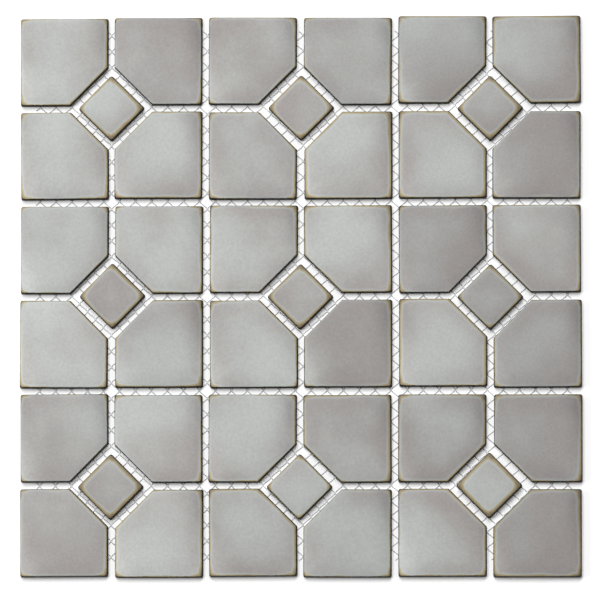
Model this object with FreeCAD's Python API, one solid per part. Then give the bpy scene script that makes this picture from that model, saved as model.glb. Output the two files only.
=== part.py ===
import FreeCAD, Part
import math
import os
import random

# Clipped-square-and-dot mosaic sheet: glazed porcelain pieces held at their joint
# spacing by a fibreglass net that is glued to their backs.
#
# The origin is on the underside of the net at the middle of the sheet. +Z points out
# of the glazed faces, +X runs along the rows and +Y runs from the last row to the first.
# Lengths are in millimetres and angles in degrees.

# Layout
MODULES = 3                 # along each side of the sheet; a module is two by two squares and a dot
TILE_SIDE = 47.6            # clipped square, edge to edge round its back
JOINT = 3.4                 # gap left between neighbouring squares for the grout
CORNER_CUT = 20.5           # leg of the corner that is clipped off to make room for a dot
DOT_JOINT = 4.05            # gap between a dot's sides and the clipped corners round it

# Pressed and glazed body
TILE_THICKNESS = 6.0        # back to the highest point of the glazed face
CROWN_RADIUS = 1200.0       # the glazed face is very slightly domed
WALL_LEAN = 0.4             # how far the sides lean in between the back and the face
EDGE_ROLL = 0.6             # radius that rolls the glazed face over into the side
CORNER_EASE = 0.6           # plan radius that the corners keep inside the roll
BACK_ARRIS = 0.35           # small radius round the back, left by pressing

# Laying by hand
SQUARE_SLIP = 0.4           # most that a square sits off its place, along X or Y
DOT_SLIP = 0.7              # the same for a dot, which has more room
LAY_TURN = 0.35             # most that a piece is turned from square
LAY_SEED = 7                # picks one set of slips and turns

# Fibreglass net
NET_INSET_LEFT = 8.5        # from the sheet's edge to the net's trimmed edge, at -X
NET_INSET_RIGHT = 4.2       # the same at +X
NET_INSET_TOP = 6.9         # the same at +Y
NET_INSET_BOTTOM = 10.0     # the same at -Y
NET_THICKNESS = 0.4
THREAD_WIDTH = 0.5
KNOT_WIDTH = 0.9            # across the two threads where they are bound together
KNOT_LENGTH = 1.2           # along Y, over which they run side by side
CELL_X = 8.62               # pitch of the net's cells along X
CELL_Y = 8.54               # the same along Y
CELL_SHIFT_X = 1.19         # the middle of one cell from the middle of the sheet, along X
CELL_SHIFT_Y = 0.8          # the same along Y

# Places that follow from the sizes above
TILE_PITCH = TILE_SIDE + JOINT
MODULE_PITCH = 2 * TILE_PITCH
SHEET_HALF = (MODULES * MODULE_PITCH - JOINT) / 2
DOT_SIDE = math.sqrt(2) * (JOINT + CORNER_CUT) - 2 * DOT_JOINT
HALF_X = CELL_X / 2
HALF_Y = CELL_Y / 2
BACK_Z = NET_THICKNESS
FACE_Z = BACK_Z + TILE_THICKNESS
CORNER_RADIUS = EDGE_ROLL + CORNER_EASE

UP = FreeCAD.Vector(0, 0, 1)
LEFT = FreeCAD.Vector(-1, 0, 0)


def closed_wire(points, z):
    """A closed polygon through plan points at one height."""
    corners = [FreeCAD.Vector(x, y, z) for x, y in points]
    return Part.makePolygon(corners + corners[:1])


def clipped_square_outline(inset):
    """Plan of a tile about its own middle, with its clipped corner towards +X +Y and its sides moved in."""
    half = TILE_SIDE / 2 - inset
    clip = TILE_SIDE / 2 - CORNER_CUT - inset * (math.sqrt(2) - 1)
    return [(-half, -half), (half, -half), (half, clip), (clip, half), (-half, half)]


def dot_outline(inset):
    """Plan of a dot about its own middle, standing on a corner, with its sides moved in."""
    reach = DOT_SIDE / math.sqrt(2) - inset * math.sqrt(2)
    return [(0, -reach), (reach, 0), (0, reach), (-reach, 0)]


def rises(edge):
    """True for an edge that climbs from the back to the face, as the corners of the sides do."""
    start, end = (vertex.Point for vertex in edge.Vertexes)
    return abs(end.z - start.z) > TILE_THICKNESS / 2


def glazed_piece(outline):
    """A pressed piece on its back: leaning sides, eased corners, domed face, rolled edge, back arris."""
    foot = closed_wire(outline(0), BACK_Z)
    head = closed_wire(outline(WALL_LEAN), FACE_Z)
    blank = Part.makeLoft([foot, head], True, True)
    blank = blank.makeFillet(CORNER_RADIUS, [edge for edge in blank.Edges if rises(edge)])
    # the ball lies on its side, which keeps its poles and its seam away from the glazed face
    ball = Part.makeSphere(CROWN_RADIUS, FreeCAD.Vector(0, 0, FACE_Z - CROWN_RADIUS), LEFT)
    body = blank.common(ball).Solids[0]
    face = max(body.Faces, key=lambda candidate: candidate.CenterOfMass.z)
    body = body.makeFillet(EDGE_ROLL, face.OuterWire.Edges)
    back = min(body.Faces, key=lambda candidate: candidate.CenterOfMass.z)
    return body.makeFillet(BACK_ARRIS, back.OuterWire.Edges)


def laid(piece, x, y, turn, slip, hand):
    """The piece turned and moved to its place, with the small error of laying by hand."""
    slip_x = hand.uniform(-slip, slip)
    slip_y = hand.uniform(-slip, slip)
    skew = hand.uniform(-LAY_TURN, LAY_TURN)
    placed = piece.copy()
    placed.Placement = FreeCAD.Placement(
        FreeCAD.Vector(x + slip_x, y + slip_y, 0), FreeCAD.Rotation(UP, turn + skew)
    )
    return placed


def module_centre(row, column):
    """Plan place of a module's middle. Row 0 is the first row, at +Y, and column 0 is at -X."""
    middle = (MODULES - 1) / 2
    return (column - middle) * MODULE_PITCH, (middle - row) * MODULE_PITCH


def square_tiles(hand):
    """The clipped squares by name, four round each dot with their clipped corners towards it."""
    piece = glazed_piece(clipped_square_outline)
    tiles = {}
    for row in range(2 * MODULES):
        for column in range(2 * MODULES):
            centre_x, centre_y = module_centre(row // 2, column // 2)
            side_x = 1 if column % 2 else -1
            side_y = -1 if row % 2 else 1
            x = centre_x + side_x * TILE_PITCH / 2
            y = centre_y + side_y * TILE_PITCH / 2
            turn = math.degrees(math.atan2(-side_y, -side_x)) - 45
            placed = laid(piece, x, y, turn, SQUARE_SLIP, hand)
            tiles[f"square_tile_r{row + 1}_c{column + 1}"] = placed
    return tiles


def dot_tiles(hand):
    """The dots by name, one in the middle of each module."""
    piece = glazed_piece(dot_outline)
    dots = {}
    for row in range(MODULES):
        for column in range(MODULES):
            x, y = module_centre(row, column)
            dots[f"dot_tile_r{row + 1}_c{column + 1}"] = laid(piece, x, y, 0, DOT_SLIP, hand)
    return dots


def cell_opening():
    """Corners of one opening of the net about its own middle, between four threads and two knots."""
    half_knot = KNOT_LENGTH / 2
    slope = (HALF_Y - KNOT_LENGTH) / HALF_X
    half_thread = THREAD_WIDTH / 2 * math.hypot(1, slope)
    tip = HALF_Y - half_knot - half_thread
    side = HALF_X - KNOT_WIDTH / 2
    shoulder = tip - side * slope
    return [(0, tip), (side, shoulder), (side, -shoulder), (0, -tip), (-side, -shoulder), (-side, shoulder)]


def half_cells(low, high, shift, half_cell):
    """Numbers of the half cells from one place to another along an axis, and one cell beyond each."""
    return range(math.floor((low - shift) / half_cell) - 2, math.ceil((high - shift) / half_cell) + 3)


def net_piece(low, high):
    """The net between four straight cuts: threads fused at their knots, with an opening in each cell."""
    opening = cell_opening()
    whole = []
    notches = []
    for step_x in half_cells(low[0], high[0], CELL_SHIFT_X, HALF_X):
        for step_y in half_cells(low[1], high[1], CELL_SHIFT_Y, HALF_Y):
            if (step_x + step_y) % 2:
                continue
            middle = (step_x * HALF_X + CELL_SHIFT_X, step_y * HALF_Y + CELL_SHIFT_Y)
            corners = [(middle[0] + x, middle[1] + y) for x, y in opening]
            if all(low[0] < x < high[0] and low[1] < y < high[1] for x, y in corners):
                whole.append(closed_wire(corners, 0))
            else:
                notches.append(Part.Face(closed_wire(corners, 0)))
    cloth = Part.Face(closed_wire([low, (high[0], low[1]), high, (low[0], high[1])], 0))
    # snips of thread that the cuts free at the corners fall away
    trimmed = max(cloth.cut(notches).Faces, key=lambda face: face.Area)
    return Part.Face([trimmed.OuterWire] + whole).extrude(UP * NET_THICKNESS)


def net_cuts(low_inset, high_inset, shift, half_cell):
    """Where the net is cut along one axis: its trimmed edges, and between knots past each joint."""
    cuts = [low_inset - SHEET_HALF]
    for index in range(1, MODULES):
        joint = (index - MODULES / 2) * MODULE_PITCH
        knots_before = math.ceil((joint - shift) / half_cell)
        cuts.append(shift + (knots_before + 0.5) * half_cell)
    return cuts + [SHEET_HALF - high_inset]


def net_pieces():
    """The net by name. It is one sheet, given here in one piece under each module."""
    cuts_x = net_cuts(NET_INSET_LEFT, NET_INSET_RIGHT, CELL_SHIFT_X, HALF_X)
    cuts_y = net_cuts(NET_INSET_BOTTOM, NET_INSET_TOP, CELL_SHIFT_Y, HALF_Y)
    pieces = {}
    for row in range(MODULES):
        up = MODULES - 1 - row
        for column in range(MODULES):
            low = (cuts_x[column], cuts_y[up])
            high = (cuts_x[column + 1], cuts_y[up + 1])
            pieces[f"net_r{row + 1}_c{column + 1}"] = net_piece(low, high)
    return pieces


def main():
    hand = random.Random(LAY_SEED)
    pieces = {**square_tiles(hand), **dot_tiles(hand), **net_pieces()}
    os.makedirs("parts", exist_ok=True)
    for name, shape in pieces.items():
        shape.exportStep(f"parts/{name}.step")
    print(f"{len(pieces)} pieces, tile pitch {TILE_PITCH:.2f} mm, net cell {CELL_X:.2f} by {CELL_Y:.2f} mm")


if __name__ == "__main__":
    main()
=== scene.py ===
# %% [markdown]
# # A net-backed sheet of glazed mosaic tiles
# The object is one sheet of mosaic as it comes out of its box: thirty-six square tiles with
# one corner clipped off, nine small square dots that stand on a corner between them, and the
# fibreglass net that is glued under all of them. Its shapes come from a CAD model that is
# already finished. This script loads that model as a frame that never moves, puts a more
# detailed mesh in the place of each solid, and gives the meshes their finishes.
# Blender counts in metres, so a millimetre gets a name of its own here.

# %% Load the fixed frame
import math
import random

import bpy
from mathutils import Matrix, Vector
from mathutils.geometry import convex_hull_2d


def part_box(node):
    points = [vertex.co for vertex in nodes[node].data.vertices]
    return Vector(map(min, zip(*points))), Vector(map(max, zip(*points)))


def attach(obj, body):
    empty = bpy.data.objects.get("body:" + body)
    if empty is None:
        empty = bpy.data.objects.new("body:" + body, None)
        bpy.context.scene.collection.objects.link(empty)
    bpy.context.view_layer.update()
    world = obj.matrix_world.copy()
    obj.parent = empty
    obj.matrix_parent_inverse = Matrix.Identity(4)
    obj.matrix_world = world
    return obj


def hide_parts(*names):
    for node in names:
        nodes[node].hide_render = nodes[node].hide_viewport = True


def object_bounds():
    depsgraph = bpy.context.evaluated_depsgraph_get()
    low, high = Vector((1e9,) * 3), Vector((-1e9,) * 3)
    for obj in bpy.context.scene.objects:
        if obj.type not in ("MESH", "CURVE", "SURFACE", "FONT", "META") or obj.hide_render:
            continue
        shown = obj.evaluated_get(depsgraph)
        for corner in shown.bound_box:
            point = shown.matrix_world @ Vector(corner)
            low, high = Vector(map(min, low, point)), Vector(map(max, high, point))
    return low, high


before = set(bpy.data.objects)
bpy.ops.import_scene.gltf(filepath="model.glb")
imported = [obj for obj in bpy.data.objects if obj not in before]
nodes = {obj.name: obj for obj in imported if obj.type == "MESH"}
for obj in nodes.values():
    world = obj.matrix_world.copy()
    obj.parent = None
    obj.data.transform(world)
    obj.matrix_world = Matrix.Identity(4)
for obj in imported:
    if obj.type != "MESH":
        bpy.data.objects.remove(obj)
cad_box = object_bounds()
MM = 0.001
print("solids in the frame:", len(nodes))
print("box of the frame in mm:", [[round(value / MM, 1) for value in corner] for corner in cad_box])

# %% [markdown]
# ## Two small helpers
# Materials and Geometry Nodes are both graphs of nodes, so one function that adds a node,
# sets its options and fills or links its inputs serves both. An input is given in its turn, by
# name or by number. The Mix node needs numbers, because it keeps a set of sockets for each kind
# of value: 2 and 3 for plain numbers, 4 and 5 for vectors, 6 and 7 for colours. A colour is
# written as the hex code that a colour chart gives. Blender mixes light in linear values, so
# the code is turned into those first, otherwise every colour would come out too pale.

# %% Add a node, and read a hex colour
def add(tree, kind, *inputs, sockets=None, **settings):
    """Add a node with its options, then set or link its inputs: in turn, or by name or number."""
    node = tree.nodes.new(kind)
    for option, value in settings.items():
        setattr(node, option, value)
    for name, value in [*enumerate(inputs), *(sockets or {}).items()]:
        for source in value if isinstance(value, list) else [value]:
            if isinstance(source, bpy.types.Node):
                source = source.outputs[0]
            if isinstance(source, bpy.types.NodeSocket):
                tree.links.new(source, node.inputs[name])
            else:
                node.inputs[name].default_value = source
    return node


def colour(code):
    """The linear colour of an sRGB hex code."""
    parts = [int(code[start:start + 2], 16) / 255 for start in (1, 3, 5)]
    linear = [part / 12.92 if part < 0.04045 else ((part + 0.055) / 1.055) ** 2.4 for part in parts]
    return (*linear, 1)


MATH = "ShaderNodeMath"
VECTOR_MATH = "ShaderNodeVectorMath"
MIX = "ShaderNodeMix"
NOISE = "ShaderNodeTexNoise"
MAP_RANGE = "ShaderNodeMapRange"
VECTOR = "ShaderNodeCombineXYZ"
print("a mid grey in linear light:", [round(part, 3) for part in colour("#808080")])

# %% [markdown]
# ## The outline of a pressed tile
# Each tile is a little out of place, as tiles laid by hand in a tray are. Its corners could be
# typed in from a drawing, but then those small slips and turns would have to be typed in too.
# So the outline is measured on the tile's own solid. Seen from above, the solid's hull has a
# few long sides with tiny steps round the corners, and where neighbouring long sides would meet
# is a sharp corner.

# %% Measure the sharp corners of a solid
LONG_SIDE = 8 * MM
SAME_WAY = math.radians(2)


def plan_sides(node):
    """Long sides of a solid's plan, anticlockwise, each as its start and its whole way."""
    points = [vertex.co.to_2d() for vertex in nodes[node].data.vertices]
    hull = [points[index] for index in convex_hull_2d(points)]
    runs = []
    for start, end in zip(hull, hull[1:] + hull[:1]):
        way = end - start
        if runs and way.angle(runs[-1][1], 0) < SAME_WAY:
            runs[-1][1] = runs[-1][1] + way
        else:
            runs.append([start, way])
    if runs[0][1].angle(runs[-1][1], 0) < SAME_WAY:
        start, way = runs.pop()
        runs[0] = [start, way + runs[0][1]]
    if sum(start.x * way.y - start.y * way.x for start, way in runs) < 0:
        runs = [[start + way, -way] for start, way in reversed(runs)]
    return [run for run in runs if run[1].length > LONG_SIDE]


def sharp_corners(node):
    """Where neighbouring sides of a solid's plan would meet."""
    sides = plan_sides(node)
    corners = []
    for (start, way), (next_start, next_way) in zip(sides, sides[1:] + sides[:1]):
        gap = next_start - start
        along = gap.cross(next_way) / way.cross(next_way)
        corners.append(start + way * along)
    return corners


for example in ("square_tile_r1_c1", "dot_tile_r1_c1"):
    found = [tuple(round(value / MM, 2) for value in corner) for corner in sharp_corners(example)]
    print(example, "corners in mm:", found)

# %% [markdown]
# ## A ring of points that can shrink
# A pressed tile is a stack of rings, from its back up its side, over the rolled edge and in to
# the middle of its face. A Bevel modifier on a flat block would be quicker, but it can't round
# the corners differently from ring to ring. Here all rings have the same points, only further in
# and with rounder corners. Three things say where a point goes on any ring: the sharp corner
# that it belongs to, the way that corner moves when the sides move in by one unit, and the way
# out of the arc at that point. A point on a straight side lies between the values of its ends.

# %% Work out the points round an outline
ARC_STEPS = 6
SIDE_STEPS = 9


def outline_points(corners):
    """Corner, inward move and way out of each point round the outline."""
    arcs = []
    befores, afters = corners[-1:] + corners[:-1], corners[1:] + corners[:1]
    for before, corner, after in zip(befores, corners, afters):
        way_in = (corner - before).normalized()
        way_out = (after - corner).normalized()
        out_first = Vector((way_in.y, -way_in.x))
        out_last = Vector((way_out.y, -way_out.x))
        move = -(out_first + out_last) / (1 + out_first.dot(out_last))
        turn = math.atan2(out_first.cross(out_last), out_first.dot(out_last))
        start = math.atan2(out_first.y, out_first.x)
        angles = [start + turn * step / ARC_STEPS for step in range(ARC_STEPS + 1)]
        outs = [Vector((math.cos(angle), math.sin(angle))) for angle in angles]
        arcs.append([(corner, move, out) for out in outs])
    points = []
    for arc, next_arc in zip(arcs, arcs[1:] + arcs[:1]):
        points += arc
        for step in range(1, SIDE_STEPS):
            share = step / SIDE_STEPS
            points.append([a.lerp(b, share) for a, b in zip(arc[-1], next_arc[0])])
    return points


print("points round a square tile:", len(outline_points(sharp_corners("square_tile_r1_c1"))))

# %% [markdown]
# The first ring is a single flat face. The three values travel with its points as attributes,
# and every ring that is extruded from it inherits them.

# %% Make the flat outline that carries those values
STORED = ("corner", "inward move", "way out")


def outline_mesh(name, corners, inset, radius, height):
    """One flat face, moved in and rounded, with the three values stored on its points."""
    points = outline_points(corners)
    mesh = bpy.data.meshes.new(name)
    places = [corner + move * (inset + radius) + out * radius for corner, move, out in points]
    mesh.from_pydata([(*place, height) for place in places], [], [range(len(points))])
    for column, title in enumerate(STORED):
        values = mesh.attributes.new(title, "FLOAT_VECTOR", "POINT")
        for item, point in zip(values.data, points):
            item.vector = (*point[column], 0)
    return mesh


print("values on each point:", ", ".join(STORED))

# %% [markdown]
# ## One ring as a node group
# The group grows the tile by one ring. It extrudes the face on top, then sets each new point
# from its stored values, the ring's inset and the ring's corner radius. Its height is counted
# up from the back for the lower rings, and down from the domed face for the upper ones, because
# the rolled edge follows the dome round the tile. Near its rim the face falls a little more
# than the dome does, and a high power keeps that fall to the last few millimetres. The same
# group serves every ring.

# %% Name the inputs of a ring
def socket(tree, name, kind, value=None, way="INPUT"):
    """Give a tree a named input or output."""
    made = tree.interface.new_socket(name=name, in_out=way, socket_type="NodeSocket" + kind)
    if value is not None:
        made.default_value = value


ring_tree = bpy.data.node_groups.new("tile ring", "GeometryNodeTree")
socket(ring_tree, "Geometry", "Geometry")
socket(ring_tree, "Top", "Bool")
socket(ring_tree, "Middle", "Vector")
for name in ("Inset", "Corner radius", "Height", "From face", "To middle", "Face height",
             "Crown radius", "Pillow"):
    socket(ring_tree, name, "Float")
socket(ring_tree, "Geometry", "Geometry", way="OUTPUT")
socket(ring_tree, "Top", "Bool", way="OUTPUT")
print("a ring's inputs and outputs:", len(ring_tree.interface.items_tree))

# %% [markdown]
# The nodes work out the point's place in plan first, then its height on the dome or on the
# side. Only then is the face on top extruded, by nothing at all, and its copy moved there.

# %% Build the ring group
ATTRIBUTE = "GeometryNodeInputNamedAttribute"
SET_POSITION = "GeometryNodeSetPosition"
RIM_POWER = 8.0

given = add(ring_tree, "NodeGroupInput").outputs
corner, inward, outward = [
    add(ring_tree, ATTRIBUTE, name, data_type="FLOAT_VECTOR") for name in STORED]
radius = given["Corner radius"]
reach = add(ring_tree, MATH, given["Inset"], radius, operation="ADD")
moved = add(ring_tree, VECTOR_MATH, inward, sockets={"Scale": reach}, operation="SCALE")
arc = add(ring_tree, VECTOR_MATH, outward, sockets={"Scale": radius}, operation="SCALE")
centre = add(ring_tree, VECTOR_MATH, corner, moved, operation="ADD")
edge = add(ring_tree, VECTOR_MATH, centre, arc, operation="ADD")
plan = add(ring_tree, MIX, given["To middle"], sockets={4: edge, 5: given["Middle"]},
           data_type="VECTOR").outputs[1]
away = add(ring_tree, VECTOR_MATH, plan, given["Middle"], operation="DISTANCE").outputs["Value"]
squared = add(ring_tree, MATH, away, 2.0, operation="POWER")
dome = add(ring_tree, MATH, squared, given["Crown radius"], operation="DIVIDE")
domed = add(ring_tree, MATH, dome, -0.5, given["Face height"], operation="MULTIPLY_ADD")
near_rim = add(ring_tree, MATH, 1.0, given["To middle"], operation="SUBTRACT")
fall = add(ring_tree, MATH, near_rim, RIM_POWER, operation="POWER")
pillow = add(ring_tree, MATH, fall, given["Pillow"], operation="MULTIPLY")
face = add(ring_tree, MATH, domed, pillow, operation="SUBTRACT")
raised = add(ring_tree, MATH, given["From face"], face, given["Height"], operation="MULTIPLY_ADD")
height = add(ring_tree, VECTOR, sockets={2: raised})
place = add(ring_tree, VECTOR_MATH, plan, height, operation="ADD")
grown = add(ring_tree, "GeometryNodeExtrudeMesh", mode="FACES",
            sockets={"Mesh": given["Geometry"], "Selection": given["Top"], "Offset Scale": 0.0,
                     "Individual": False}).outputs
placed = add(ring_tree, SET_POSITION, grown["Mesh"],
             sockets={"Selection": grown["Top"], "Position": place})
add(ring_tree, "NodeGroupOutput", placed, grown["Top"])
print("ring group:", len(ring_tree.nodes), "nodes")

# %% [markdown]
# ## The rings of a whole tile
# Three repeat zones call the ring group: a quarter turn round the small arris of the back, a
# quarter turn over the rolled edge, and the rings of the face. Between the first two lies the
# side, which leans in a little because a pressed tile has to leave its mould. The sizes are
# inputs of the tree, so that one tree makes squares and dots alike.

# %% Name the sizes of a tile
TILE_SIZES = {
    "Back height": 0.4 * MM, "Face height": 6.4 * MM, "Back arris": 0.35 * MM,
    "Foot radius": 1.2 * MM, "Wall lean": 0.4 * MM, "Edge roll": 0.6 * MM,
    "Edge radius": 1.4 * MM, "Crown radius": 1200 * MM, "Pillow": 0.3 * MM,
    # one of these widens the tan line on the right-hand edges, as painted shade
    "Glaze corner": 5.5 * MM, "Thin edge": 0.0, "Lee edge": 0.6 * MM,
    "Half width": 23.8 * MM, "Number": 0.0, "Tone": 1.0,
}
tile_tree = bpy.data.node_groups.new("pressed tile", "GeometryNodeTree")
socket(tile_tree, "Geometry", "Geometry")
socket(tile_tree, "Middle", "Vector")
socket(tile_tree, "Glaze", "Material")
for name, value in TILE_SIZES.items():
    socket(tile_tree, name, "Float", value)
socket(tile_tree, "Geometry", "Geometry", way="OUTPUT")
size = add(tile_tree, "NodeGroupInput").outputs
print("sizes of a tile:", len(TILE_SIZES))

# %% [markdown]
# A repeat zone has a beginning and an end that work as a pair, and whatever is wired between
# them runs once for each step. Each step knows its share of the way, from which the functions
# below work out the ring's inset, height and corner radius.

# %% Define a repeated ring
SHARED_SIZES = ("Middle", "Face height", "Crown radius", "Pillow")


def ring_zone(geometry, top, steps, first, ring_values):
    """Repeat the ring group, with a share that runs from first/steps up to 1."""
    begin = add(tile_tree, "GeometryNodeRepeatInput")
    end = add(tile_tree, "GeometryNodeRepeatOutput")
    begin.pair_with_output(end)
    end.repeat_items.new("BOOLEAN", "Top")
    begin.inputs["Iterations"].default_value = steps + 1 - first
    begin.inputs["Top"].default_value = True
    tile_tree.links.new(geometry, begin.inputs["Geometry"])
    if top:
        tile_tree.links.new(top, begin.inputs["Top"])
    counted = add(tile_tree, MATH, begin.outputs["Iteration"], float(first), operation="ADD")
    share = add(tile_tree, MATH, counted, float(steps), operation="DIVIDE")
    passed_on = {name: begin.outputs[name] for name in ("Geometry", "Top")}
    shared = {name: size[name] for name in SHARED_SIZES}
    ring = add(tile_tree, "GeometryNodeGroup", node_tree=ring_tree,
               sockets={**passed_on, **shared, **ring_values(share)})
    for name in passed_on:
        tile_tree.links.new(ring.outputs[name], end.inputs[name])
    return end.outputs["Geometry"], end.outputs["Top"]


def quarter_turn(share, radius):
    """How far a quarter turn of a small radius has moved in, and how far is left of its height."""
    angle = add(tile_tree, MATH, share, math.pi / 2, operation="MULTIPLY")
    parts = []
    for wave in ("COSINE", "SINE"):
        value = add(tile_tree, MATH, angle, operation=wave)
        rest = add(tile_tree, MATH, 1.0, value, operation="SUBTRACT")
        parts.append(add(tile_tree, MATH, rest, radius, operation="MULTIPLY"))
    return parts


print("sizes that every ring shares:", ", ".join(SHARED_SIZES))

# %% [markdown]
# The three kinds of ring differ in where their height is counted from and in how they round the
# corners. The stack starts on the flat outline, which is also kept, turned over, as the tile's
# back. At the middle of the face all points of the last ring meet and are welded into one.

# %% Stack the rings from the back to the middle of the face
ARRIS_STEPS = 3
ROLL_STEPS = 6
FACE_STEPS = 11
CROWDING = 1.7  # above 1 the face's rings lie closer near its edge, where the glaze changes
WELD = 0.002 * MM


def arris_ring(share):
    """A ring of the small arris round the back, counted up from the back."""
    up, inset = quarter_turn(share, size["Back arris"])
    return {"Inset": inset,
            "Height": add(tile_tree, MATH, up, size["Back height"], operation="ADD"),
            "Corner radius": add(tile_tree, MATH, size["Foot radius"], inset, operation="SUBTRACT")}


def roll_ring(share):
    """A ring of the rolled edge, counted down from the face."""
    inward, down = quarter_turn(share, size["Edge roll"])
    return {"Inset": add(tile_tree, MATH, inward, size["Wall lean"], operation="ADD"),
            "From face": 1.0,
            "Height": add(tile_tree, MATH, down, -1.0, operation="MULTIPLY"),
            "Corner radius": add(tile_tree, MATH, size["Edge radius"], inward,
                                 operation="SUBTRACT")}


def face_ring(share):
    """A ring of the domed face, on the way in to its middle."""
    return {"Inset": add(tile_tree, MATH, size["Wall lean"], size["Edge roll"], operation="ADD"),
            "From face": 1.0,
            "To middle": add(tile_tree, MATH, share, CROWDING, operation="POWER"),
            "Corner radius": add(tile_tree, MATH, size["Edge radius"], size["Edge roll"],
                                 operation="SUBTRACT")}


# the roll counts from 0, because its first ring is also the top of the side
flat_back = add(tile_tree, "GeometryNodeFlipFaces", size["Geometry"])
body, top = ring_zone(size["Geometry"], None, ARRIS_STEPS, 1, arris_ring)
body, top = ring_zone(body, top, ROLL_STEPS, 0, roll_ring)
body, top = ring_zone(body, top, FACE_STEPS, 1, face_ring)
shell = add(tile_tree, "GeometryNodeJoinGeometry", [flat_back, body])
closed = add(tile_tree, "GeometryNodeMergeByDistance", shell, sockets={"Distance": WELD})
print("rings and back:", len(tile_tree.nodes), "nodes")

# %% [markdown]
# ## Where the glaze is thin
# A glaze changes with the distance from the tile's edge: it runs off the arris and lets the
# body burn through there. That could be painted on an image, but an attribute on the mesh needs
# no image and fits every tile. The distance is measured from an outline whose corners are well
# rounded, because a thick glaze draws back from a sharp corner, so the bare patches there are
# small triangles.

# %% Measure how far a point lies from the rounded edge
TOUCHING = 0.001 * MM

position = add(tile_tree, "GeometryNodeInputPosition")
seen = add(tile_tree, VECTOR_MATH, position, (1, 1, 0), operation="MULTIPLY")
corner, inward, outward = [
    add(tile_tree, ATTRIBUTE, name, data_type="FLOAT_VECTOR") for name in STORED]
drawn_in = add(tile_tree, VECTOR_MATH, inward, sockets={"Scale": size["Glaze corner"]},
               operation="SCALE")
inner_place = add(tile_tree, VECTOR_MATH, corner, drawn_in, operation="ADD")
inner = add(tile_tree, SET_POSITION, size["Geometry"], sockets={"Position": inner_place})
outside, inside = [
    add(tile_tree, "GeometryNodeProximity", inner, sockets={"Sample Position": seen},
        target_element=element).outputs["Distance"] for element in ("FACES", "EDGES")]
is_inside = add(tile_tree, MATH, outside, TOUCHING, operation="LESS_THAN")
beyond = add(tile_tree, MATH, is_inside, inside, operation="MULTIPLY")
signed = add(tile_tree, MATH, beyond, outside, operation="SUBTRACT")
from_rounded = add(tile_tree, MATH, size["Glaze corner"], signed, operation="ADD")
print("with the distance:", len(tile_tree.nodes), "nodes")

# %% [markdown]
# The edges that face right, and a little up, get a wider line of thin glaze, and a second value
# says how far towards that side a point lies, from -1 to 1. Both are painted shade for light
# that comes from the left: the glaze uses them to darken the right-hand side of each tile and
# lighten the left-hand one.
# Then all that the glaze needs is stored on the points, and what only the rings needed is
# taken off again.

# %% Add the painted shade, store the attributes and finish the tile tree
# the way across a tile from its painted light to its painted shade: right, and a little up
SHADE_WAY = (0.95, 0.3, 0)
STORE = "GeometryNodeStoreNamedAttribute"

# edges facing that way get a wider tan line: painted shade on the right-hand edges, added to the
# random thin edge
faces_shade = add(tile_tree, VECTOR_MATH, outward, SHADE_WAY, operation="DOT_PRODUCT")
painted_shade_edge = add(tile_tree, MATH, faces_shade.outputs["Value"], 0.0, operation="MAXIMUM")
thin_and_shaded = add(tile_tree, MATH, painted_shade_edge, size["Lee edge"], size["Thin edge"], operation="MULTIPLY_ADD")
glazed_in = add(tile_tree, MATH, from_rounded, thin_and_shaded, operation="SUBTRACT")
off_middle = add(tile_tree, VECTOR_MATH, seen, size["Middle"], operation="SUBTRACT")
# how far a point lies towards the side that the glaze paints darker, as painted shade
toward_shade = add(tile_tree, VECTOR_MATH, off_middle, SHADE_WAY, operation="DOT_PRODUCT")
painted_shade_side = add(tile_tree, MATH, toward_shade.outputs["Value"], size["Half width"],
                 operation="DIVIDE")
finished = closed
for name, value in (("glaze distance", add(tile_tree, MATH, glazed_in, MM, operation="DIVIDE")),
                    ("spray side", add(tile_tree, "ShaderNodeClamp", painted_shade_side, -1.0, 1.0)),
                    ("tile number", size["Number"]), ("tone", size["Tone"])):
    finished = add(tile_tree, STORE, finished, sockets={"Name": name, "Value": value},
                   data_type="FLOAT")
for name in STORED:
    finished = add(tile_tree, "GeometryNodeRemoveAttribute", finished, sockets={"Name": name})
smooth = add(tile_tree, "GeometryNodeSetShadeSmooth", finished, sockets={"Shade Smooth": True})
real = add(tile_tree, "GeometryNodeRealizeInstances", smooth)
glazed = add(tile_tree, "GeometryNodeSetMaterial", real, sockets={"Material": size["Glaze"]})
add(tile_tree, "NodeGroupOutput", glazed)
print("tile tree:", len(tile_tree.nodes), "nodes")

# %% [markdown]
# ## The glaze
# The real one is a reactive grey glaze, fired on a dark porcelain body. It is opaque and satin,
# and breaks into soft clouds a few centimetres wide, warmer and darker or cooler and paler, with
# a fine speckle. Towards the edge it runs thicker into a cool band, then thins over the arris to
# tan and, at the corners, to brown. The side below it stays bare. An image could hold all that,
# but only for one tile. Here noise makes the clouds, and each tile's own number moves the noise,
# so that no two tiles are alike. A tile of a paler tone also has more of the cool cloud.

# %% Start the glaze with its attributes and noises
def new_material(name):
    """An empty material with its shader and output joined."""
    made = bpy.data.materials.new(name)
    made.use_nodes = True
    made.node_tree.nodes.clear()
    shader = add(made.node_tree, "ShaderNodeBsdfPrincipled")
    add(made.node_tree, "ShaderNodeOutputMaterial", shader)
    return made, made.node_tree, shader


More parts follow.
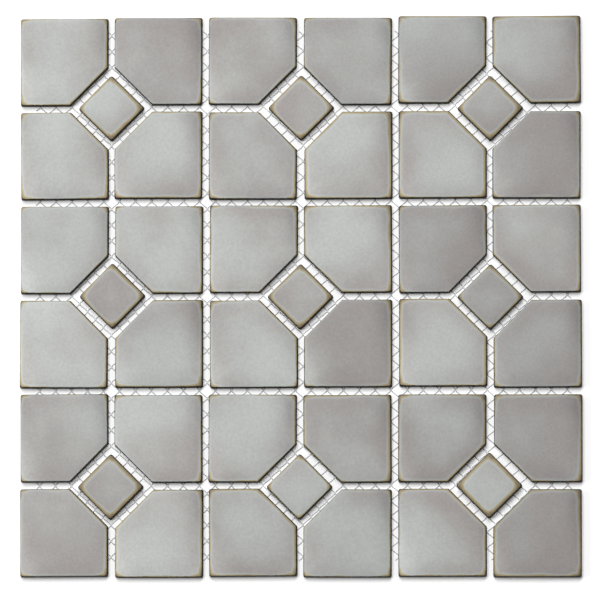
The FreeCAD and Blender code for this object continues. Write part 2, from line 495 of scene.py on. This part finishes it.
NOISES = {  # wavelength in millimetres, and detail
    "clouds": (42.0, 0.5),
    "drift of thin glaze along an edge": (18.0, 1.0),
    "mottle": (11.0, 2.0),
    "ragged edge": (2.2, 2.0),
    "speckle": (1.3, 1.0),
}
glaze, tree, shader = new_material("reactive grey glaze on dark porcelain")
object_place = add(tree, "ShaderNodeTexCoord").outputs["Object"]
in_mm = add(tree, VECTOR_MATH, object_place, sockets={"Scale": 1 / MM}, operation="SCALE")
glaze_distance, painted_shade_side, tile_number, tone = [
    add(tree, "ShaderNodeAttribute", attribute_name=name).outputs["Fac"]
    for name in ("glaze distance", "spray side", "tile number", "tone")]
clouds, drift, mottle, ragged, speckle = [
    add(tree, NOISE, noise_dimensions="4D",
        sockets={"Vector": in_mm, "W": tile_number, "Scale": 1 / wavelength, "Detail": detail})
    for wavelength, detail in NOISES.values()]
print("noises of the glaze:", ", ".join(NOISES))

# %% [markdown]
# The clouds are a broad noise with a little mottle on it. A noise rarely reaches 0 or 1, so a
# Map Range node stretches the part where its values lie over the whole way from the warm dark
# grey to the cool pale one. The speckle then makes single spots a few per cent lighter or darker.

# %% Mix the clouds and the speckle
NOISE_SPAN = (0.3, 0.7)         # most values of a noise lie between these
MOTTLE_SHARE = 0.25
FURTHER_IN = (2.5, 14.0)        # over these millimetres from the edge the glaze settles paler
SETTLED = (-0.06, 0.06)
TONE_SHARE = 0.5
CLOUD_SPAN = (0.84, 1.42)
SPECKLE_LIGHT = (0.94, 1.06)
SMOOTH = "SMOOTHSTEP"

mottled = add(tree, MATH, mottle, MOTTLE_SHARE, clouds, operation="MULTIPLY_ADD")
far_in = add(tree, MAP_RANGE, glaze_distance, *FURTHER_IN, *SETTLED, interpolation_type=SMOOTH)
settled = add(tree, MATH, mottled, far_in, operation="ADD")
paler = add(tree, MATH, tone, TONE_SHARE, settled, operation="MULTIPLY_ADD")
cloud_share = add(tree, MAP_RANGE, paler, *CLOUD_SPAN, interpolation_type=SMOOTH)
field = add(tree, MIX, cloud_share, data_type="RGBA",
            sockets={6: colour("#918c8a"), 7: colour("#a7aaa7")}).outputs[2]
speckle_light = add(tree, MAP_RANGE, speckle, *NOISE_SPAN, *SPECKLE_LIGHT)
speckled = add(tree, VECTOR_MATH, field, sockets={"Scale": speckle_light}, operation="SCALE")
print("clouds and speckle:", len(tree.nodes), "nodes")

# %% [markdown]
# The line where the glaze thins is not even. A slow noise widens it along one side and closes
# it along the next, and a finer one frays it. Both are added to the distance before it is
# compared with the widths, so the widths below are still in millimetres. Each layer covers what
# is painted so far, wholly up to one distance and fading out up to the next.

# %% Lay the cool band, the tan edge and the brown corners over the clouds
FRAY = 0.9
# for each layer: spread and shift of the slow noise, up to where it is whole and where it is
# gone, all in millimetres, then how much it covers and its colour
LAYERS = {
    "cool band": (3.6, -1.0, 0.2, 2.2, 0.75, "#a6aeac"),
    "tan edge": (2.6, -1.3, 1.1, 1.65, 0.9, "#9b8c66"),
    "brown corners": (2.6, -1.3, -0.5, 1.1, 0.9, "#6c5f47"),
}
frayed = add(tree, MATH, ragged, FRAY, glaze_distance, operation="MULTIPLY_ADD")
painted = speckled
for spread, shift, whole, gone, cover, code in LAYERS.values():
    line = add(tree, MATH, drift, spread, shift, operation="MULTIPLY_ADD")
    from_line = add(tree, MATH, frayed, line, operation="SUBTRACT")
    share = add(tree, MAP_RANGE, from_line, whole, gone, cover, 0.0, interpolation_type=SMOOTH)
    painted = add(tree, MIX, share, data_type="RGBA",
                  sockets={6: painted, 7: colour(code)}).outputs[2]
print("layers over the clouds:", ", ".join(LAYERS))

# %% [markdown]
# The left-hand side of each tile is painted a little paler and the right-hand side darker: a
# painted highlight and painted shade, for light that comes from the left. The fifth power of
# the distance across the tile keeps its sign, and keeps the change near the two sides.
# Below the rolled edge the glaze ends in a ragged line, and the dark body shows.

# %% Add the tones, the painted light and shade, and the bare side
# painted shade and light: the right-hand side of a tile darker, the left-hand side paler
SIDE_SHADE = -0.26
GLAZE_RUN = 0.7                 # millimetres by which the end of the glaze goes up and down
GLAZE_END = (5.75, 6.0)         # height of that end above the floor, before the noise

fourth = add(tree, MATH, painted_shade_side, 4.0, operation="POWER")
near_sides = add(tree, MATH, fourth, painted_shade_side, operation="MULTIPLY")
side_shade = add(tree, MATH, near_sides, SIDE_SHADE, 1.0, operation="MULTIPLY_ADD")
tone_and_shade = add(tree, MATH, side_shade, tone, operation="MULTIPLY")
toned = add(tree, VECTOR_MATH, painted, sockets={"Scale": tone_and_shade}, operation="SCALE")
height = add(tree, "ShaderNodeSeparateXYZ", in_mm).outputs["Z"]
run = add(tree, MATH, ragged, GLAZE_RUN, height, operation="MULTIPLY_ADD")
bare = add(tree, MAP_RANGE, run, *GLAZE_END, 1.0, 0.0, interpolation_type=SMOOTH)
body_light = add(tree, VECTOR_MATH, colour("#2b251f")[:3], sockets={"Scale": speckle_light},
                 operation="SCALE")
fired = add(tree, MIX, bare, sockets={6: toned, 7: body_light}, data_type="RGBA").outputs[2]
tree.links.new(fired, shader.inputs["Base Color"])
print("glaze colours:", len(tree.nodes), "nodes")

# %% [markdown]
# A satin glaze gives a wide, weak highlight, so its roughness is well above that of a gloss
# glaze, and the bare side is rougher still. Its skin has the faint waves of orange peel, a
# millimetre or two wide and a few hundredths high.

# %% Set the sheen and the skin of the glaze
SATIN = (0.55, 0.46)
BARE_ROUGHNESS = 0.9
PEEL_HEIGHT = 0.03 * MM
REFLECTION = 0.34               # below the usual 0.5, because the skin is finely matt

satin = add(tree, MAP_RANGE, clouds, *NOISE_SPAN, *SATIN)
sheen = add(tree, MIX, bare, sockets={2: satin, 3: BARE_ROUGHNESS}, data_type="FLOAT").outputs[0]
peel = add(tree, "ShaderNodeBump",
           sockets={"Strength": 0.5, "Distance": PEEL_HEIGHT, "Height": ragged}).outputs[0]
tree.links.new(sheen, shader.inputs["Roughness"])
tree.links.new(peel, shader.inputs["Normal"])
shader.inputs["Specular IOR Level"].default_value = REFLECTION
print("glaze:", len(tree.nodes), "nodes")

# %% [markdown]
# ## From a tree to a plain piece
# A mesh goes through a tree as a modifier. The modifier's inputs are set before it first runs,
# and by the identifier of each socket, because a modifier knows no other name for it. The
# result is then kept as a plain mesh, which can be measured, moved and exported. Last, the
# piece is attached to the object and its solid is hidden.

# %% Run a tree on a mesh, and hand the piece over
def set_inputs(piece, tree, values):
    """Give a piece the tree as a modifier, with its inputs set by their identifiers."""
    modifier = piece.modifiers.new(tree.name, "NODES")
    modifier.node_group = tree
    for item in tree.interface.items_tree:
        if item.item_type == "SOCKET" and item.in_out == "INPUT" and item.name in values:
            modifier[item.identifier] = values[item.name]


def made_plain(name, mesh, tree, values):
    """Grow a mesh with a tree and keep the result as a plain mesh on an object at the origin."""
    start = bpy.data.objects.new(name + "_start", mesh)
    bpy.context.scene.collection.objects.link(start)
    set_inputs(start, tree, values)
    grown = start.evaluated_get(bpy.context.evaluated_depsgraph_get())
    result = bpy.data.meshes.new_from_object(grown)
    result.name = name
    piece = bpy.data.objects.new(name, result)
    bpy.context.scene.collection.objects.link(piece)
    bpy.data.objects.remove(start)
    bpy.data.meshes.remove(mesh)
    return piece


def hand_over(piece, node):
    """The piece moves with the object, and the solid that it stands for is hidden."""
    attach(piece, "root")
    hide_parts(node)


print("solids to replace:", len(nodes))

# %% [markdown]
# ## The tiles
# One mesh could be copied forty-five times, but real tiles differ. So every tile goes through
# the tree on its own, with its own middle, number and tone. Tiles of one firing differ in tone
# from piece to piece. The sheet is also painted a little darker towards its right, as painted
# shade for light that falls from the left. The line of thin glaze lies further in on some tiles
# than on others, and furthest in on the dots.

# %% Make the tiles
TILE_SEED = 11
# painted shade: each tile's tone falls towards the sheet's right
SHADE_ACROSS = 0.1
TONE_SPREAD = 0.08
SQUARE_EDGE = (-0.6 * MM, 0.25 * MM)
DOT_EDGE = (-0.2 * MM, 1.0 * MM)
NUMBER_STEP = 3.7  # how far the noise moves on from one tile to the next


def plan_middle(corners):
    """Middle of a tile's plan, halfway along its longest diagonal, and half that diagonal."""
    pairs = [(a, b) for a in corners for b in corners]
    far = max(pairs, key=lambda pair: round((pair[0] - pair[1]).length, 6))
    return (far[0] + far[1]) / 2, (far[0] - far[1]).length / 2


chance = random.Random(TILE_SEED)
sheet_half = cad_box[1][0]
arris = TILE_SIZES["Back arris"]
foot = TILE_SIZES["Foot radius"] - arris
tiles = {}
for number, node in enumerate(sorted(name for name in nodes if "tile" in name)):
    is_dot = "dot" in node
    corners = sharp_corners(node)
    middle, half_diagonal = plan_middle(corners)
    start = outline_mesh(node, corners, arris, foot, TILE_SIZES["Back height"])
    # a random tone, with the painted shade across the sheet
    tone_and_shade_here = 1 - SHADE_ACROSS * middle.x / sheet_half + chance.uniform(-TONE_SPREAD, TONE_SPREAD)
    values = {"Middle": (*middle, 0), "Glaze": glaze, "Number": number * NUMBER_STEP,
              "Tone": tone_and_shade_here,
              "Thin edge": chance.uniform(*(DOT_EDGE if is_dot else SQUARE_EDGE)),
              "Half width": half_diagonal / (1 if is_dot else math.sqrt(2))}
    tiles[node] = made_plain(node.replace("_tile", "_glazed"), start, tile_tree, values)
    hand_over(tiles[node], node)
square_faces = len(tiles["square_tile_r1_c1"].data.polygons)
print("tiles:", len(tiles), "with", square_faces, "faces on a square")

# %% [markdown]
# ## The net
# The net is knitted from resin-coated fibreglass yarn. Two yarns run side by side for a
# millimetre, where they are bound into a knot, then part and slant over to the next knots, so
# the openings are hexagons. One knot with its four half threads is the repeat. It could be
# modelled and copied with an array, but the knots sit like the black fields of a chessboard,
# and a tree can pick those points out of a grid. Each knot has fewer than eighty faces,
# because there are thousands.

# %% Name the sizes of the net
NET_SIZES = {
    "Half cell X": 4.31 * MM, "Half cell Y": 4.27 * MM, "Shift X": 1.19 * MM, "Shift Y": 0.8 * MM,
    "Thread width": 0.6 * MM, "Net thickness": 0.38 * MM, "Knot width": 0.95 * MM,
    "Knot length": 1.4 * MM, "Wander": 0.5 * MM,
}
net_tree = bpy.data.node_groups.new("knitted net", "GeometryNodeTree")
socket(net_tree, "Geometry", "Geometry")
socket(net_tree, "Resin", "Material")
for name in ("Columns", "Rows", "First column", "First row"):
    socket(net_tree, name, "Int")
for name, value in NET_SIZES.items():
    socket(net_tree, name, "Float", value)
socket(net_tree, "Geometry", "Geometry", way="OUTPUT")
size = add(net_tree, "NodeGroupInput").outputs
print("sizes of the net:", len(NET_SIZES))

# %% [markdown]
# One yarn of the knot starts as a short straight line of points. Over the knot it runs straight,
# a little beside the middle, and past both ends it slants away to the same side, as far as the
# middle of the thread there. A five-sided ring runs along it, and a half turn makes the second
# yarn, which slants to the other side. Both are pressed a little flat, and a small ball of resin
# is squeezed to the size of the knot. How far a point lies along its yarn is stored, so that
# the twist can follow it later.

# %% Make one knot
STRAND_POINTS = 6
YARN_SIDES = 5
BESIDE = 0.22   # from the knot's middle to each yarn's, as a share of the knot's width
PRESSED = 0.86  # thickness of a yarn, as a share of the net's
TRANSFORM = "GeometryNodeTransform"

reach_x = add(net_tree, MATH, size["Half cell X"], 0.5, operation="MULTIPLY")
reach_y = add(net_tree, MATH, size["Half cell Y"], 0.5, operation="MULTIPLY")
below = add(net_tree, MATH, reach_y, -1.0, operation="MULTIPLY")
strand = add(net_tree, "GeometryNodeCurvePrimitiveLine",
             sockets={"Start": add(net_tree, VECTOR, sockets={1: below}),
                      "End": add(net_tree, VECTOR, sockets={1: reach_y})})
cut = add(net_tree, "GeometryNodeResampleCurve", strand, sockets={"Count": STRAND_POINTS})
position = add(net_tree, "GeometryNodeInputPosition")
along = add(net_tree, "ShaderNodeSeparateXYZ", position).outputs[1]
from_middle = add(net_tree, MATH, along, operation="ABSOLUTE")
half_knot = add(net_tree, MATH, size["Knot length"], 0.5, operation="MULTIPLY")
past_knot = add(net_tree, MATH, from_middle, half_knot, operation="SUBTRACT")
past = add(net_tree, MATH, past_knot, 0.0, operation="MAXIMUM")
side = add(net_tree, MATH, size["Knot width"], BESIDE, operation="MULTIPLY")
run = add(net_tree, MATH, reach_x, side, operation="SUBTRACT")
rise = add(net_tree, MATH, reach_y, half_knot, operation="SUBTRACT")
slope = add(net_tree, MATH, run, rise, operation="DIVIDE")
across = add(net_tree, MATH, past, slope, side, operation="MULTIPLY_ADD")
sideways = add(net_tree, VECTOR, across)
bent = add(net_tree, SET_POSITION, cut, sockets={"Offset": sideways})
thin = add(net_tree, MATH, size["Thread width"], 0.5, operation="MULTIPLY")
ring = add(net_tree, "GeometryNodeCurvePrimitiveCircle",
           sockets={"Resolution": YARN_SIDES, "Radius": thin})
thread = add(net_tree, "GeometryNodeCurveToMesh", bent, ring, sockets={"Fill Caps": True})
measured = add(net_tree, MATH, along, MM, operation="DIVIDE")
twisted = add(net_tree, STORE, thread, sockets={"Name": "along", "Value": measured},
              data_type="FLOAT")
other = add(net_tree, TRANSFORM, twisted, sockets={"Rotation": (0, 0, math.pi)})
both = add(net_tree, "GeometryNodeJoinGeometry", [twisted, other])
flat = add(net_tree, MATH, size["Net thickness"], PRESSED, operation="MULTIPLY")
flat_share = add(net_tree, MATH, flat, size["Thread width"], operation="DIVIDE")
flattened = add(net_tree, VECTOR, 1.0, 1.0, flat_share)
pressed = add(net_tree, TRANSFORM, both, sockets={"Scale": flattened})
ball = add(net_tree, "GeometryNodeMeshUVSphere",
           sockets={"Segments": 6, "Rings": 4, "Radius": 0.5})
turned = add(net_tree, TRANSFORM, ball, sockets={"Rotation": (math.pi / 2, 0, 0)})
knot_size = add(net_tree, VECTOR, size["Knot width"], size["Knot length"], size["Net thickness"])
sized = add(net_tree, TRANSFORM, turned, sockets={"Scale": knot_size})
bound = add(net_tree, STORE, sized, sockets={"Name": "knot", "Value": 1.0}, data_type="FLOAT")
knot = add(net_tree, "GeometryNodeJoinGeometry", [pressed, bound])
print("one knot:", len(net_tree.nodes), "nodes")

# %% [markdown]
# The knots are numbered in columns and rows from the middle of one opening. Where column and
# row add up to an odd number there is a knot, and where the sum is even there is an opening.
# A grid has a point for each of them.

# %% Lay out a grid with a point for each knot and opening
LEVEL = 0.52  # height of the yarns' middle, as a share of the net's thickness

middles, spans = [], []
for letter, count, first in (("X", "Columns", "First column"), ("Y", "Rows", "First row")):
    step = size["Half cell " + letter]
    steps = add(net_tree, MATH, size[count], 1.0, operation="SUBTRACT")
    span = add(net_tree, MATH, steps, step, operation="MULTIPLY")
    start = add(net_tree, MATH, size[first], step, size["Shift " + letter],
                operation="MULTIPLY_ADD")
    middles.append(add(net_tree, MATH, span, 0.5, start, operation="MULTIPLY_ADD"))
    spans.append(span)
grid = add(net_tree, "GeometryNodeMeshGrid", *spans, size["Columns"], size["Rows"])
level = add(net_tree, MATH, size["Net thickness"], LEVEL, operation="MULTIPLY")
grid_middle = add(net_tree, VECTOR, *middles, level)
laid = add(net_tree, TRANSFORM, grid, sockets={"Translation": grid_middle})
print("with the grid:", len(net_tree.nodes), "nodes")

# %% [markdown]
# The points with an odd sum each get an instance of the knot. The instances are made real, so
# that a slow noise can pull the whole net a little out of square, as a soft cloth is. The noise
# depends on place alone, so neighbouring pieces of the net are pulled alike and still meet.

# %% Put the knots on their points and finish the net tree
PULL_SCALE = 60.0  # per metre, so one wave of the pull is about 17 mm long

where = add(net_tree, "ShaderNodeSeparateXYZ",
            add(net_tree, "GeometryNodeInputPosition")).outputs
counts = []
for axis, letter in enumerate("XY"):
    shifted = add(net_tree, MATH, where[axis], size["Shift " + letter], operation="SUBTRACT")
    cells = add(net_tree, MATH, shifted, size["Half cell " + letter], operation="DIVIDE")
    counts.append(add(net_tree, MATH, cells, operation="ROUND"))
both_counts = add(net_tree, MATH, *counts, operation="ADD")
odd = add(net_tree, MATH, both_counts, 2.0, operation="FLOORED_MODULO")
points = add(net_tree, "GeometryNodeMeshToPoints", laid, odd)
many = add(net_tree, "GeometryNodeInstanceOnPoints", points, sockets={"Instance": knot})
real = add(net_tree, "GeometryNodeRealizeInstances", many)
pull = add(net_tree, NOISE, sockets={"Scale": PULL_SCALE, "Detail": 1.0}).outputs["Color"]
centred = add(net_tree, VECTOR_MATH, pull, (0.5, 0.5, 0.5), operation="SUBTRACT")
level_only = add(net_tree, VECTOR_MATH, centred, (1, 1, 0), operation="MULTIPLY")
offset = add(net_tree, VECTOR_MATH, level_only, sockets={"Scale": size["Wander"]},
             operation="SCALE")
pulled = add(net_tree, SET_POSITION, real, sockets={"Offset": offset})
smooth = add(net_tree, "GeometryNodeSetShadeSmooth", pulled, sockets={"Shade Smooth": True})
coated = add(net_tree, "GeometryNodeSetMaterial", smooth, sockets={"Material": size["Resin"]})
add(net_tree, "NodeGroupOutput", coated)
print("net tree:", len(net_tree.nodes), "nodes")

# %% [markdown]
# ## The finish of the net
# The yarn is glass dipped in a milky resin: grey where a single thread lets the light through,
# and nearly white at the knots, where the resin gathers. Its twist shows as small steps along
# the thread, about a millimetre apart. The thread's own length, stored by the tree, places them.

# %% Finish the yarn
TWIST_STEP = 0.9        # millimetres
MILKY_PATCH = 2.5       # millimetres
RIDGE_HEIGHT = 0.06 * MM

resin, tree, shader = new_material("resin coated fibreglass yarn")
object_place = add(tree, "ShaderNodeTexCoord").outputs["Object"]
in_mm = add(tree, VECTOR_MATH, object_place, sockets={"Scale": 1 / MM}, operation="SCALE")
knotted, along = [add(tree, "ShaderNodeAttribute", attribute_name=name).outputs["Fac"]
                  for name in ("knot", "along")]
turned = add(tree, MATH, along, 2 * math.pi / TWIST_STEP, operation="MULTIPLY")
wave = add(tree, MATH, turned, operation="SINE")
twist = add(tree, MAP_RANGE, wave, -1.0, 1.0)
milky = add(tree, NOISE, sockets={"Vector": in_mm, "Scale": 1 / MILKY_PATCH, "Detail": 2.0})
yarn, gathered = [
    add(tree, MIX, share, sockets={6: colour(greyer), 7: colour(whiter)},
        data_type="RGBA").outputs[2]
    for share, greyer, whiter in ((twist, "#bcbec0", "#cccdce"), (milky, "#e6e6e4", "#f4f4f2"))]
shade = add(tree, MIX, knotted, sockets={6: yarn, 7: gathered}, data_type="RGBA").outputs[2]
ridge = add(tree, "ShaderNodeBump",
            sockets={"Strength": 0.6, "Distance": RIDGE_HEIGHT, "Height": twist}).outputs[0]
tree.links.new(shade, shader.inputs["Base Color"])
tree.links.new(ridge, shader.inputs["Normal"])
shader.inputs["Roughness"].default_value = 0.5
print("yarn:", len(tree.nodes), "nodes")

# %% [markdown]
# The frame gives the net in nine pieces, one under each group of four tiles and a dot. Each
# starts from an empty mesh. The box of its solid says which columns and rows of knots lie in
# it, so that the pieces fit together and no knot is made twice.

# %% Make the net
net_pieces = {}
for node in sorted(name for name in nodes if name.startswith("net")):
    low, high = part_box(node)
    lows, counts = [], []
    for axis, letter in enumerate("XY"):
        shift, step = NET_SIZES["Shift " + letter], NET_SIZES["Half cell " + letter]
        lows.append(math.ceil((low[axis] - shift) / step))
        counts.append(math.floor((high[axis] - shift) / step) - lows[axis] + 1)
    values = {"Columns": counts[0], "Rows": counts[1],
              "First column": lows[0], "First row": lows[1], "Resin": resin}
    empty = bpy.data.meshes.new(node + "_start")
    net_pieces[node] = made_plain("knitted_" + node, empty, net_tree, values)
    hand_over(net_pieces[node], node)
net_faces = sum(len(piece.data.polygons) for piece in net_pieces.values())
print("net:", len(net_pieces), "pieces,", net_faces, "faces")

# %% [markdown]
# ## The floor
# The sheet lies on a plain pale floor. A small glow, which only the camera and rays in gloss or
# glass can see, takes the open floor to white. It lights nothing, so the object's own shadow
# stays on the floor, and the glaze mirrors the same floor that the camera sees.

# %% Make the floor
FLOOR_HALF = 4.0
FLOOR_CORNERS = ((-1, -1), (1, -1), (1, 1), (-1, 1))
FLOOR_WHITE = 0.95
FLOOR_GLOW = 0.12

floor_mesh = bpy.data.meshes.new("floor")
floor_mesh.from_pydata([(x * FLOOR_HALF, y * FLOOR_HALF, 0) for x, y in FLOOR_CORNERS],
                       [], [(0, 1, 2, 3)])
floor = bpy.data.objects.new("floor", floor_mesh)
bpy.context.scene.collection.objects.link(floor)
paper, tree, shader = new_material("pale studio floor")
path = add(tree, "ShaderNodeLightPath").outputs
seen = add(tree, MATH, path["Is Camera Ray"], path["Is Glossy Ray"], operation="ADD")
seen = add(tree, MATH, seen, path["Is Transmission Ray"], operation="ADD")
glow = add(tree, MATH, seen, FLOOR_GLOW, operation="MULTIPLY").outputs[0]
tree.links.new(glow, shader.inputs["Emission Strength"])
shader.inputs["Emission Color"].default_value = (1, 1, 1, 1)
shader.inputs["Base Color"].default_value = (FLOOR_WHITE, FLOOR_WHITE, FLOOR_WHITE, 1)
shader.inputs["Roughness"].default_value = 0.9
floor_mesh.materials.append(paper)
print("floor:", 2 * FLOOR_HALF, "m square")

# %% [markdown]
# ## Light
# A wide softbox hangs five metres up, some way beyond the sheet's top edge, so that the lower
# side of each tile is dark and throws a short soft shadow, as in the photograph. A smaller panel
# further down on the left lights the left-hand edges, while the right-hand ones stay dark. A
# lamp's size sets how fast a shadow fades, so it is given as the angle that it fills, seen from
# the sheet. The world adds a weak even fill.

# %% Set up the light
def softbox(name, north, west, distance, span_x, span_y, watts):
    """A rectangular lamp that faces the middle of the sheet. Angles are in degrees."""
    lamp = bpy.data.lights.new(name, "AREA")
    lamp.shape = "RECTANGLE"
    lamp.size = 2 * distance * math.tan(math.radians(span_x / 2))
    lamp.size_y = 2 * distance * math.tan(math.radians(span_y / 2))
    lamp.energy = watts
    holder = bpy.data.objects.new(name, lamp)
    way = Vector((-math.tan(math.radians(west)), math.tan(math.radians(north)), 1)).normalized()
    holder.location = way * distance
    holder.rotation_euler = (math.radians(-north), math.radians(-west), 0)
    holder.visible_camera = False
    bpy.context.scene.collection.objects.link(holder)
    print(name, "is", round(lamp.size, 2), "by", round(lamp.size_y, 2), "m")


FILL = 0.08

softbox("overhead softbox", north=21.5, west=4.5, distance=5.0, span_x=26, span_y=32, watts=241)
softbox("west panel", north=4.0, west=48.0, distance=4.0, span_x=20, span_y=20, watts=57)
world = bpy.data.worlds.new("studio")
bpy.context.scene.world = world
world.use_nodes = True
sky = world.node_tree.nodes["Background"].inputs
sky["Color"].default_value = (1, 1, 1, 1)
sky["Strength"].default_value = FILL

# %% [markdown]
# ## Camera
# The photograph is taken from far away and almost straight above. It shows the lower and the
# right-hand sides of the tiles and not the other two, so the camera leans a few degrees that
# way. A long lens keeps the rows of tiles parallel.

# %% Set up the camera
LEAN_DOWN = 4.4
LEAN_RIGHT = 2.7
CAMERA_DISTANCE = 5.0
SENSOR, LENS = 36, 556.8        # millimetres
AIM = Vector((-0.46 * MM, -1.72 * MM, 0.4 * MM))

camera_data = bpy.data.cameras.new("camera")
camera_data.sensor_width = SENSOR
camera_data.lens = LENS
camera = bpy.data.objects.new("camera", camera_data)
camera.rotation_euler = (math.radians(LEAN_DOWN), math.radians(LEAN_RIGHT), 0)
look = camera.rotation_euler.to_matrix() @ Vector((0, 0, -1))
camera.location = AIM - look * CAMERA_DISTANCE
bpy.context.scene.collection.objects.link(camera)
bpy.context.scene.camera = camera
bpy.context.scene.view_settings.view_transform = "Standard"
print("camera at", [round(value, 3) for value in camera.location])
